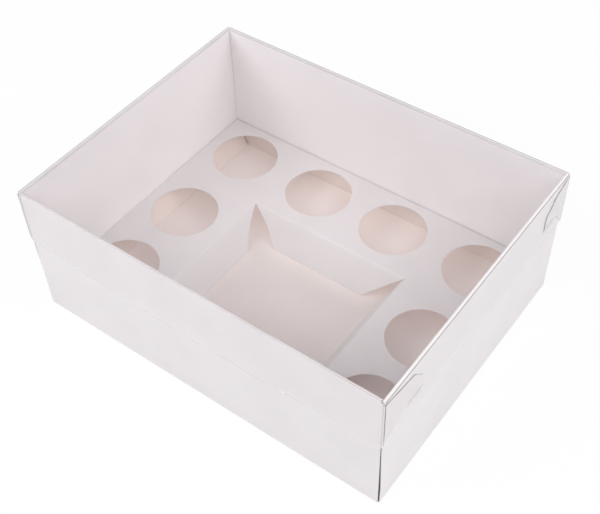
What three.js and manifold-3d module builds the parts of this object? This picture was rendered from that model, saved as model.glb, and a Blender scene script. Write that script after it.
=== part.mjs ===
// A cupcake box: a white card tray with double walls, a raised card insert that holds eight
// cupcakes round one cake, and a clear folded lid that lifts straight off.
// Millimetres, +Z up. The origin is under the middle of the box, on the surface it stands on.
// The long front wall faces -Y.

import * as THREE from "three";
import { mergeVertices } from "three/addons/utils/BufferGeometryUtils.js";
import Module from "manifold-3d";

const wasm = await Module();
wasm.setup();

// Sheet stock and clearances
const CARD = 0.5; // thickness of the white card
const FILM = 0.35; // thickness of the clear sheet
const GAP = 0.3; // air between folded layers, and between pieces that touch
const CARD_CREASE = 0.35; // inside radius of a crease in the card
const FILM_CREASE = 0.3; // inside radius of a crease in the clear sheet
const CREASE_STEPS = 4; // flats that round off one crease
const LAP = 0.4; // how far the straight stretches of a sheet's parts are joined past their creases
const TRIM = 2; // how far a strip runs past the outline that trims it
const GRID = 1 / 512; // step that coordinates are rounded to, so that flush faces meet

// Tray
const TRAY_LENGTH = 327.5; // outside, along X
const TRAY_WIDTH = 252; // outside, along Y
const TRAY_HEIGHT = 126.5; // underside to rim
const CORNER_FLAP_LENGTH = 62; // flap of a long wall, hidden in the short wall's fold
const CORNER_FLAP_SLOPE = 9; // how far the flap's edges slope in towards its free end
const FLAP_SHORT = 2; // how far the corner flaps stop short of the rim and of the base
const WALL_END_TAPER = 1; // how far a short wall's edges draw in, from rim to base

// Insert
const INSERT_HEIGHT = 25.5; // underside of the tray to the top of the insert
const INSERT_PLAY = 1.2; // half of what the insert is smaller than the tray's inside
const CUP_HOLE = 59; // diameter of a cup hole
const SIDE_MARGIN = 10; // card beside the outer holes
const BACK_MARGIN = 8; // card behind the back row of holes
const FRONT_MARGIN = 16; // card in front of the front holes
const MIDDLE_ROW_SHIFT = 4; // how far the middle holes stand forward of halfway
const INNER_COLUMN_SHIFT = 1.3; // how far the inner holes stand in from even spacing
const SIDE_WEB = 14.6; // card between the side holes and the cake opening
const BACK_WEB = 11.8; // card between the back row of holes and the cake opening
const OPENING_FRONT_MARGIN = 13.2; // card in front of the cake opening
const SIDE_FLAP_RUN = 14.5; // how far the opening's side flaps lean in
const END_FLAP_RUN = 17.2; // how far its back and front flaps lean in
const SIDE_FLAP_TAPER = 32.2; // how much shorter each end of a side flap is at its foot
const END_FLAP_TAPER = 31.3; // how much shorter each end of a back or front flap is at its foot
const FLAP_RELIEF = 0.6; // how far a flap's fold stops short of the opening's corners
const SIDE_LEG_RUN = 13.2; // how far the legs under the short edges lean in
const END_LEG_RUN = 0.6; // how far the legs under the long edges lean in
const SIDE_LEG_INSET = 6; // how far a side leg's ends stay in from the insert's corners
const END_LEG_INSET = 2; // how far a front or back leg's ends stay in from the corners
const LEG_TAPER = 5; // how much shorter each end of a leg is at its foot
const HOLE_SIDES = 64; // flats that round off a cup hole
const FLAP_BOW = 0.45; // share of the taper that a flap's side edge has made at half its run
const FLAP_CURVE_STEPS = 8; // flats along the curved edge of a flap

// Lid
const LID_PLAY = 1; // air between the tray's wall and the lid's skirt
const SKIRT_DEPTH = 51; // top of the lid to the skirt's lower edge
const TAB_LAP = 8.4; // how far a corner tab's fold is joined back along its long skirt
const TAB_TOP = 2.6; // top of the lid to the top of a corner tab
const TAB_BOTTOM = 49; // top of the lid to the foot of a corner tab
const TAB_SHOULDER = 17.8; // depth at which a tab's top edge turns down to its nose
const TAB_SHOULDER_IN = 5; // how far the shoulder stands back from the nose
const TAB_RISE_IN = 13; // how far back from the nose the top edge begins to turn down
const TAB_RISE = 8.5; // depth of that place
const TAB_CURVE_STEPS = 6; // flats along each curve of a tab
const SLIT_DEPTH = 33.5; // top of the lid to a slit
const SLIT_LENGTH = 18.5; // length of a slit
const SLIT_OPENING = 1.8; // height of a slit
const FRONT_TAB_REACH = 47.5; // lid's front face to the nose of a front tab
const BACK_TAB_REACH = 32.5; // lid's back face to the nose of a back tab
const TONGUE_DROP = 1.5; // height over which a tongue passes through its slit
const TONGUE_LENGTH = 6; // how far a tongue reaches down behind the skirt
const TONGUE_PLAY = 1.2; // how much a slit is longer than its tongue at each end

/** The nearest place on the grid. Faces that meet lie on it. */
function onGrid(value) {
  return Math.round(value / GRID) * GRID;
}

// Tray sizes that follow
const halfLength = TRAY_LENGTH / 2;
const halfWidth = TRAY_WIDTH / 2;
const rim = 3 * CARD + 2 * GAP; // three layers of card and the air between them
const insideHalfLength = halfLength - rim;
const insideHalfWidth = halfWidth - rim;
const floorGap = CARD + GAP; // height of whatever stands on the tray's floor
const bendLine = CARD_CREASE + CARD / 2; // radius of a card crease at mid thickness
const cardRoot = 2 * (bendLine + LAP); // straight card beside a corner fold

// Insert sizes that follow
const insertHalfLength = onGrid(insideHalfLength - INSERT_PLAY);
const insertHalfWidth = onGrid(insideHalfWidth - INSERT_PLAY);
const insertSlide = INSERT_PLAY - GAP; // it lies against the tray's left and back walls
const holeRadius = CUP_HOLE / 2;
const outerColumn = insertHalfLength - SIDE_MARGIN - holeRadius;
const innerColumn = outerColumn / 3 - INNER_COLUMN_SHIFT;
const backRow = insertHalfWidth - BACK_MARGIN - holeRadius;
const frontRow = FRONT_MARGIN + holeRadius - insertHalfWidth;
const middleRow = (backRow + frontRow) / 2 - MIDDLE_ROW_SHIFT;
const openingHalfLength = onGrid(outerColumn - holeRadius - SIDE_WEB);
const openingBack = onGrid(backRow - holeRadius - BACK_WEB);
const openingFront = onGrid(OPENING_FRONT_MARGIN - insertHalfWidth);
const openingMiddle = (openingBack + openingFront) / 2;
const openingWidth = openingBack - openingFront;

// Lid sizes that follow
const lidHalfLength = halfLength + LID_PLAY + FILM;
const lidHalfWidth = halfWidth + LID_PLAY + FILM;
const lidTop = TRAY_HEIGHT + GAP + FILM;
const skirtFoot = lidTop - SKIRT_DEPTH;
const filmBendLine = FILM_CREASE + FILM / 2; // radius of a film crease at mid thickness
const filmRoot = 2 * (filmBendLine + LAP); // straight film beside a corner fold

const whiteCard = new THREE.MeshStandardMaterial({ color: "#eceaeb", roughness: 0.62, metalness: 0 });
const insertCard = new THREE.MeshStandardMaterial({ color: "#e6e3e3", roughness: 0.68, metalness: 0 });
const clearFilm = new THREE.MeshStandardMaterial({
  color: "#f4f6f8",
  roughness: 0.06,
  metalness: 0,
  transparent: true,
  opacity: 0.22,
});

/** A closed geometry as a solid that can be joined and cut. Faces meant to lie in one plane do. */
function toSolid(geometry) {
  geometry.deleteAttribute("normal");
  geometry.deleteAttribute("uv");
  const merged = mergeVertices(geometry, 1e-4);
  const coordinates = merged.attributes.position.array;
  return new wasm.Manifold(
    new wasm.Mesh({
      numProp: 3,
      vertProperties: new Float32Array(coordinates.map(onGrid)),
      triVerts: new Uint32Array(merged.index.array),
    }),
  );
}

/** A named mesh of a solid. */
function toMesh(name, solid, material) {
  const { vertProperties, triVerts } = solid.getMesh();
  const geometry = new THREE.BufferGeometry();
  geometry.setAttribute("position", new THREE.BufferAttribute(new Float32Array(vertProperties), 3));
  geometry.setIndex(new THREE.BufferAttribute(new Uint32Array(triVerts), 1));
  geometry.computeVertexNormals();
  const mesh = new THREE.Mesh(geometry, material);
  mesh.name = name;
  return mesh;
}

/** An outline extruded to a length, with its own axes turned to the three that are given. */
function extrude(outline, length, across, up, along, start, curveSteps = 1) {
  const options = { depth: length, bevelEnabled: false, curveSegments: curveSteps };
  const geometry = new THREE.ExtrudeGeometry(outline, options);
  const basis = new THREE.Matrix4().makeBasis(across, up, along);
  return geometry.applyMatrix4(basis.setPosition(start));
}

const X = new THREE.Vector3(1, 0, 0);
const Y = new THREE.Vector3(0, 1, 0);
const Z = new THREE.Vector3(0, 0, 1);

/** An outline drawn in (y, z), extruded from x = low to x = high. */
function alongX(outline, low, high, curveSteps) {
  return extrude(outline, high - low, Y, Z, X, new THREE.Vector3(low, 0, 0), curveSteps);
}

/** An outline drawn in (x, z), extruded from y = low to y = high. */
function alongY(outline, low, high) {
  return extrude(outline, high - low, X, Z, Y.clone().negate(), new THREE.Vector3(0, high, 0));
}

/** An outline drawn in (x, y), extruded from z = low to z = high. */
function alongZ(outline, low, high, curveSteps) {
  return extrude(outline, high - low, X, Y, Z, new THREE.Vector3(0, 0, low), curveSteps);
}

/** A block between two corners. */
function block(low, high) {
  const size = new THREE.Vector3().subVectors(high, low);
  const middle = new THREE.Vector3().addVectors(low, high).multiplyScalar(0.5);
  return toSolid(new THREE.BoxGeometry(size.x, size.y, size.z).translate(middle.x, middle.y, middle.z));
}

/** The middle line of a folded sheet, with each inner corner rounded to a radius. */
function creasedLine(corners, radius) {
  const line = [corners[0]];
  for (let i = 1; i < corners.length - 1; i++) {
    const before = new THREE.Vector2().subVectors(corners[i], corners[i - 1]).normalize();
    const after = new THREE.Vector2().subVectors(corners[i + 1], corners[i]).normalize();
    const turn = Math.atan2(before.cross(after), before.dot(after));
    const side = Math.sign(turn);
    const setback = radius * Math.tan(Math.abs(turn) / 2);
    const start = corners[i].clone().addScaledVector(before, -setback);
    const centre = new THREE.Vector2(-before.y, before.x).multiplyScalar(side * radius).add(start);
    for (let step = 0; step <= CREASE_STEPS; step++) {
      line.push(start.clone().rotateAround(centre, (turn * step) / CREASE_STEPS));
    }
  }
  line.push(corners[corners.length - 1]);
  return line;
}

/** The outline of a sheet of some thickness, seen on its edge, that follows a middle line. */
function sheetOutline(line, thickness) {
  const left = [];
  const right = [];
  line.forEach((point, i) => {
    const before = new THREE.Vector2().subVectors(point, line[Math.max(i - 1, 0)]).normalize();
    const after = new THREE.Vector2().subVectors(line[Math.min(i + 1, line.length - 1)], point).normalize();
    const direction = new THREE.Vector2().addVectors(before, after).normalize();
    const reference = i === 0 ? after : before;
    const offset = thickness / 2 / direction.dot(reference);
    const normal = new THREE.Vector2(-direction.y, direction.x).multiplyScalar(offset);
    left.push(point.clone().add(normal));
    right.push(point.clone().sub(normal));
  });
  return new THREE.Shape([...left, ...right.reverse()]);
}

/** The outline of a folded sheet from the corners of its middle line. */
function foldedSheet(corners, thickness, radius) {
  const points = corners.map(([u, v]) => new THREE.Vector2(u, v));
  return sheetOutline(creasedLine(points, radius), thickness);
}

/** A row of solids as one. */
function join(solids) {
  return solids.reduce((all, next) => all.add(next));
}

// Tray

/** Middle lines of a double wall's outer and inner layer, and of the rim between them. */
function wallLines(half) {
  return { outer: half - CARD / 2, inner: half - rim + CARD / 2, top: TRAY_HEIGHT - CARD / 2, base: CARD / 2 };
}

/** Base and both long walls, with their inner layers, between the short walls. */
function longWalls() {
  const { outer, inner, top, base } = wallLines(halfWidth);
  const corners = [
    [-inner, floorGap],
    [-inner, top],
    [-outer, top],
    [-outer, base],
    [outer, base],
    [outer, top],
    [inner, top],
    [inner, floorGap],
  ];
  const end = insideHalfLength - GAP;
  return toSolid(alongX(foldedSheet(corners, CARD, bendLine), -end, end));
}

/** Outer layers of the long walls out to their corner folds, and the base between them. */
function longWallEnds() {
  const { outer, base } = wallLines(halfWidth);
  const corners = [
    [-outer, TRAY_HEIGHT - FLAP_SHORT],
    [-outer, base],
    [outer, base],
    [outer, TRAY_HEIGHT - FLAP_SHORT],
  ];
  const end = halfLength - CARD - GAP - CARD_CREASE - CARD - LAP;
  return toSolid(alongX(foldedSheet(corners, CARD, bendLine), -end, end));
}

/** Base, outer layers and rims of the short walls, with edges that draw in towards the base. */
function shortWalls() {
  const { outer, inner, top, base } = wallLines(halfLength);
  const shell = [
    [-inner, top - bendLine - GAP],
    [-inner, top],
    [-outer, top],
    [-outer, base],
    [outer, base],
    [outer, top],
    [inner, top],
    [inner, top - bendLine - GAP],
  ];
  const wallOutline = new THREE.Shape([
    new THREE.Vector2(-halfWidth, TRAY_HEIGHT),
    new THREE.Vector2(-halfWidth + WALL_END_TAPER, 0),
    new THREE.Vector2(halfWidth - WALL_END_TAPER, 0),
    new THREE.Vector2(halfWidth, TRAY_HEIGHT),
  ]);
  const whole = toSolid(alongY(foldedSheet(shell, CARD, bendLine), -halfWidth, halfWidth));
  return whole.intersect(toSolid(alongX(wallOutline, -halfLength, halfLength)));
}

/** Inner layer of the short wall at one end, which hides the corner flaps. */
function shortInnerWall(end) {
  const { inner, top } = wallLines(halfLength);
  const face = end * inner;
  const reach = halfWidth - CARD - GAP;
  const low = new THREE.Vector3(face - CARD / 2, -reach, floorGap);
  const high = new THREE.Vector3(face + CARD / 2, reach, top - bendLine);
  return block(low, high);
}

/** A long wall's corner fold, and its flap between the layers of a short wall. */
function cornerFlap(end, side) {
  const flapLine = halfLength - CARD - GAP - CARD / 2;
  const wallLine = side * (halfWidth - CARD / 2);
  const top = TRAY_HEIGHT - FLAP_SHORT;
  const foot = CARD + FLAP_SHORT;
  const bend = foldedSheet(
    [
      [end * (flapLine - cardRoot), wallLine],
      [end * flapLine, wallLine],
      [end * flapLine, wallLine - side * cardRoot],
    ],
    CARD,
    bendLine,
  );
  const root = halfWidth - CARD / 2 - bendLine - LAP;
  const tip = halfWidth - CORNER_FLAP_LENGTH;
  const flap = new THREE.Shape([
    new THREE.Vector2(side * root, foot),
    new THREE.Vector2(side * root, top),
    new THREE.Vector2(side * (halfWidth - cardRoot), top),
    new THREE.Vector2(side * tip, top - CORNER_FLAP_SLOPE),
    new THREE.Vector2(side * tip, foot + CORNER_FLAP_SLOPE),
    new THREE.Vector2(side * (halfWidth - cardRoot), foot),
  ]);
  const middle = end * flapLine;
  const plate = alongX(flap, middle - CARD / 2, middle + CARD / 2);
  return toSolid(alongZ(bend, foot, top)).add(toSolid(plate));
}

/** The whole tray, folded from one sheet of card. */
function baseTray() {
  const pieces = [longWalls(), longWallEnds(), shortWalls()];
  for (const end of [-1, 1]) {
    pieces.push(shortInnerWall(end));
    pieces.push(cornerFlap(end, -1), cornerFlap(end, 1));
  }
  return join(pieces);
}

// Insert

/** The middle line's turn at the fold of a flap, in radians. */
function foldTurn(run, leansUnder) {
  const slope = Math.atan2(INSERT_HEIGHT - CARD / 2 - floorGap, run);
  return leansUnder ? Math.PI - slope : slope;
}

/** How far the middle line of a fold turns short of its sharp corner. */
function foldSetback(run, leansUnder) {
  return bendLine * Math.tan(foldTurn(run, leansUnder) / 2);
}

/** How far from a fold's outer face, or from a flap's fold line, the plate is flat. */
function flatFrom(run, leansUnder) {
  return onGrid(LAP + (leansUnder ? bendLine + CARD / 2 : foldSetback(run, false)));
}

/**
 * A flap or leg folded down from an edge of the insert, standing on the tray's floor.
 * It is drawn with its fold along Y at x = 0 and the insert's plate at x < 0. A flap of the
 * opening leans on, towards +X. A leg leans back under the plate, with its fold's outer face at 0.
 */
function foldedFlap({ run, length, taper, leansUnder, place }) {
  const root = flatFrom(run, leansUnder); // where the flap meets the plate, face to face
  const height = INSERT_HEIGHT - CARD / 2;
  const slope = (height - floorGap) / run;
  const way = leansUnder ? -1 : 1;
  const corner = leansUnder ? foldSetback(run, true) - bendLine - CARD / 2 : 0;
  const line = [
    [-root, height],
    [corner, height],
    [corner + way * (run + TRIM), height - slope * (run + TRIM)],
  ];
  const strip = alongY(foldedSheet(line, CARD, bendLine), -length / 2, length / 2);
  const foot = length / 2 - taper;
  const bow = length / 2 - FLAP_BOW * taper;
  const fold = leansUnder ? -root - LAP : 0; // the side edges run straight over the fold
  const outline = new THREE.Shape();
  outline.moveTo(leansUnder ? TRIM : -root - TRIM, -length / 2);
  outline.lineTo(fold, -length / 2);
  outline.quadraticCurveTo((way * run) / 2, -bow, way * run, -foot);
  outline.lineTo(way * (run + TRIM), -foot);
  outline.lineTo(way * (run + TRIM), foot);
  outline.lineTo(way * run, foot);
  outline.quadraticCurveTo((way * run) / 2, bow, fold, length / 2);
  outline.lineTo(leansUnder ? TRIM : -root - TRIM, length / 2);
  const trim = alongZ(outline, floorGap, INSERT_HEIGHT + CARD, FLAP_CURVE_STEPS);
  return toSolid(strip.applyMatrix4(place)).intersect(toSolid(trim.applyMatrix4(place)));
}

/** A turn about Z followed by a move, as one matrix. */
function placed(quarterTurns, x, y) {
  const turn = new THREE.Matrix4().makeRotationZ((quarterTurns * Math.PI) / 2);
  return turn.setPosition(x, y, 0);
}

/** The insert's flat plate, less the cup holes and the cake opening, short of the folds. */
function insertPlate() {
  const sideEdge = insertHalfLength - flatFrom(SIDE_LEG_RUN, true);
  const endEdge = insertHalfWidth - flatFrom(END_LEG_RUN, true);
  const openingSide = openingHalfLength + flatFrom(SIDE_FLAP_RUN, false);
  const openingEnd = openingWidth / 2 + flatFrom(END_FLAP_RUN, false);
  const plate = new THREE.Shape([
    new THREE.Vector2(-sideEdge, -endEdge),
    new THREE.Vector2(sideEdge, -endEdge),
    new THREE.Vector2(sideEdge, endEdge),
    new THREE.Vector2(-sideEdge, endEdge),
  ]);
  plate.holes.push(
    new THREE.Path([
      new THREE.Vector2(-openingSide, openingMiddle - openingEnd),
      new THREE.Vector2(-openingSide, openingMiddle + openingEnd),
      new THREE.Vector2(openingSide, openingMiddle + openingEnd),
      new THREE.Vector2(openingSide, openingMiddle - openingEnd),
    ]),
  );
  for (const [x, y] of cupPlaces()) {
    plate.holes.push(new THREE.Path().absarc(x, y, holeRadius, 0, 2 * Math.PI, true));
  }
  return toSolid(alongZ(plate, INSERT_HEIGHT - CARD, INSERT_HEIGHT, HOLE_SIDES / 2));
}

/** Centres of the eight cup holes: a back row of four and two more down each side. */
function cupPlaces() {
  const row = [-outerColumn, -innerColumn, innerColumn, outerColumn].map((x) => [x, backRow]);
  const sides = [middleRow, frontRow].flatMap((y) => [-outerColumn, outerColumn].map((x) => [x, y]));
  return [...row, ...sides];
}

/** The whole insert, folded from one sheet of card. */
function cupcakeInsert() {
  const side = { run: SIDE_FLAP_RUN, length: openingWidth - 2 * FLAP_RELIEF, taper: SIDE_FLAP_TAPER };
  const endLength = 2 * (openingHalfLength - FLAP_RELIEF);
  const end = { run: END_FLAP_RUN, length: endLength, taper: END_FLAP_TAPER };
  const sideLeg = {
    run: SIDE_LEG_RUN,
    length: 2 * (insertHalfWidth - SIDE_LEG_INSET),
    taper: LEG_TAPER,
    leansUnder: true,
  };
  const endLeg = {
    run: END_LEG_RUN,
    length: 2 * (insertHalfLength - END_LEG_INSET),
    taper: LEG_TAPER,
    leansUnder: true,
  };
  return join([
    insertPlate(),
    foldedFlap({ ...side, place: placed(0, -openingHalfLength, openingMiddle) }),
    foldedFlap({ ...side, place: placed(2, openingHalfLength, openingMiddle) }),
    foldedFlap({ ...end, place: placed(1, 0, openingFront) }),
    foldedFlap({ ...end, place: placed(3, 0, openingBack) }),
    foldedFlap({ ...sideLeg, place: placed(0, insertHalfLength, 0) }),
    foldedFlap({ ...sideLeg, place: placed(2, -insertHalfLength, 0) }),
    foldedFlap({ ...endLeg, place: placed(1, 0, insertHalfWidth) }),
    foldedFlap({ ...endLeg, place: placed(3, 0, -insertHalfWidth) }),
  ]);
}

// Lid

/** Corners of a skirt, over the top and down the far skirt, as the sheet's middle line. */
function capLine(half) {
  const face = half - FILM / 2;
  const top = lidTop - FILM / 2;
  return [
    [-face, skirtFoot],
    [-face, top],
    [face, top],
    [face, skirtFoot],
  ];
}

/** Outline of a corner tab, from the lid's end face to its nose, in (y, z). */
function tabOutline(side, reach) {
  const at = (fromEnd, depth) => [side * (lidHalfWidth - fromEnd), lidTop - depth];
  const root = FILM / 2 + filmBendLine + LAP;
  const outline = new THREE.Shape();
  outline.moveTo(...at(root, TAB_TOP));
  outline.lineTo(...at(filmRoot, TAB_TOP));
  outline.quadraticCurveTo(...at(reach - TAB_RISE_IN, TAB_RISE), ...at(reach - TAB_SHOULDER_IN, TAB_SHOULDER));
  outline.quadraticCurveTo(...at(reach, TAB_SHOULDER + TAB_SHOULDER_IN), ...at(reach, SLIT_DEPTH));
  outline.lineTo(...at(reach - SLIT_LENGTH, SLIT_DEPTH));
  outline.lineTo(...at(filmRoot, TAB_BOTTOM));
  outline.lineTo(...at(root, TAB_BOTTOM));
  return outline;
}

/** A long skirt's corner fold, its tab outside the short skirt, and the tongue through the slit. */
function cornerTab(end, side, reach) {
  const tabLine = lidHalfLength + GAP + FILM / 2;
  const skirtLine = side * (lidHalfWidth - FILM / 2);
  const behindLine = lidHalfLength - FILM - GAP - FILM / 2;
  const bend = foldedSheet(
    [
      [end * (tabLine - TAB_LAP), skirtLine],
      [end * tabLine, skirtLine],
      [end * tabLine, skirtLine - side * filmRoot],
    ],
    FILM,
    filmBendLine,
  );
  const tongueTop = lidTop - SLIT_DEPTH;
  const tongue = foldedSheet(
    [
      [end * tabLine, tongueTop + GAP],
      [end * tabLine, tongueTop],
      [end * behindLine, tongueTop - TONGUE_DROP],
      [end * behindLine, tongueTop - TONGUE_DROP - TONGUE_LENGTH],
    ],
    FILM,
    filmBendLine,
  );
  const near = side * (lidHalfWidth - reach + TONGUE_PLAY);
  const far = side * (lidHalfWidth - reach + SLIT_LENGTH - TONGUE_PLAY);
  const tabFace = [end * (tabLine - FILM / 2), end * (tabLine + FILM / 2)];
  const tab = alongX(tabOutline(side, reach), Math.min(...tabFace), Math.max(...tabFace), TAB_CURVE_STEPS);
  return join([
    toSolid(alongZ(bend, lidTop - TAB_BOTTOM, lidTop - TAB_TOP)),
    toSolid(tab),
    toSolid(alongY(tongue, Math.min(near, far), Math.max(near, far))),
  ]);
}

/** The slit in a short skirt that a tab's tongue passes through. */
function slit(end, side, reach) {
  const middle = lidTop - SLIT_DEPTH - TONGUE_DROP / 2;
  const near = side * (lidHalfWidth - reach - GAP);
  const far = side * (lidHalfWidth - reach + SLIT_LENGTH - GAP);
  const face = end * (lidHalfLength - FILM / 2);
  const low = new THREE.Vector3(face - FILM, Math.min(near, far), middle - SLIT_OPENING / 2);
  const high = new THREE.Vector3(face + FILM, Math.max(near, far), middle + SLIT_OPENING / 2);
  return block(low, high);
}

/** The whole lid, folded from one clear sheet and locked at its corners. */
function clearLid() {
  const cornerSpace = FILM + FILM_CREASE + LAP;
  const longReach = lidHalfLength - cornerSpace;
  const shortReach = lidHalfWidth - cornerSpace;
  const longSkirts = alongX(foldedSheet(capLine(lidHalfWidth), FILM, filmBendLine), -longReach, longReach);
  const shortSkirts = alongY(foldedSheet(capLine(lidHalfLength), FILM, filmBendLine), -shortReach, shortReach);
  const corners = [-1, 1].flatMap((end) => [
    { end, side: -1, reach: FRONT_TAB_REACH },
    { end, side: 1, reach: BACK_TAB_REACH },
  ]);
  const slits = join(corners.map(({ end, side, reach }) => slit(end, side, reach)));
  const tabs = join(corners.map(({ end, side, reach }) => cornerTab(end, side, reach)));
  return join([toSolid(longSkirts), toSolid(shortSkirts)]).subtract(slits).add(tabs);
}

// The box, closed

const insert = toMesh("cupcake_insert", cupcakeInsert(), insertCard);
insert.position.set(-insertSlide, insertSlide, 0);

const box = new THREE.Group();
box.add(toMesh("base_tray", baseTray(), whiteCard), insert, toMesh("clear_lid", clearLid(), clearFilm));

export default box;
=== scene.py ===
"""Looks of a cupcake box: a folded white tray, a raised insert and a clear folded lid.

Each sheet is modelled at the middle of its thickness, folded as its maker folds it, and then
thickened. Sizes are in millimetres, and become metres where a mesh is touched.
"""

import logging
import math
from dataclasses import dataclass
from enum import Enum
from typing import Callable, Sequence

import bmesh
import bpy
from mathutils import Matrix, Vector


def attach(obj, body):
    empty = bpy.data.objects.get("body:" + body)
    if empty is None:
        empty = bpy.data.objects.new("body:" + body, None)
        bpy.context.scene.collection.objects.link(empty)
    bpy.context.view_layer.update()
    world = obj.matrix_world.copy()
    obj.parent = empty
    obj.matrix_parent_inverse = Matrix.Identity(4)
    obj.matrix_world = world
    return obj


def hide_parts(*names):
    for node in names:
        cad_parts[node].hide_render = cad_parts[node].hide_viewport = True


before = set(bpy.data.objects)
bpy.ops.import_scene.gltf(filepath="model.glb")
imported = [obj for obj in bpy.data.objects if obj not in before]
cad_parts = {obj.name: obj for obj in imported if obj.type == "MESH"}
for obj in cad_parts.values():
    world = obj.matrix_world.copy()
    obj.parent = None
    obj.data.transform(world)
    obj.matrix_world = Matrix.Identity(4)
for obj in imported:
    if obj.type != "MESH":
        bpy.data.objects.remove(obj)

LOG = logging.getLogger("cupcake_box")
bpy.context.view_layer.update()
MM = 0.001
NEAR = 0.02  # how close, in millimetres, a vertex is to a place that it is picked by
MERGE = 0.004  # the distance, in millimetres, at which two vertices become one
SMOOTH_BELOW = math.radians(32)
MOTTLE_RANGE = (0.32, 0.62)  # where the mottle's noise takes a finish's dark and light colours
HAZE_RANGE = (0.3, 0.75)  # where the haze's noise takes a film's lowest and highest roughness
PAINTED_LIGHT_FROM_X = (0.050, 0.080)  # where, in metres, the painted light on the tray's reverse starts: to either side
PAINTED_LIGHT_FROM_Y = (0.010, 0.044)  # and towards the back

Where = Callable[[Vector], bool]
Weight = Callable[[Vector], float]


class Zone(Enum):
    """The parts of a sheet that have finishes of their own, by the first of their three slots."""

    FLAT = 0
    FOLD = 3
    CORNER = 6


class Axis(Enum):
    """The axes of the box: along it, across it and up."""

    X = Vector((1.0, 0.0, 0.0))
    Y = Vector((0.0, 1.0, 0.0))
    Z = Vector((0.0, 0.0, 1.0))


@dataclass
class FoldPath:
    """The way that a sheet's moving edge goes while it is folded.

    Attributes:
        at: A point on the moving edge, in millimetres.
        way: The direction that the sheet runs in.
        side: The side that it folds to.
    """

    at: Vector
    way: Vector
    side: Vector


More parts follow.
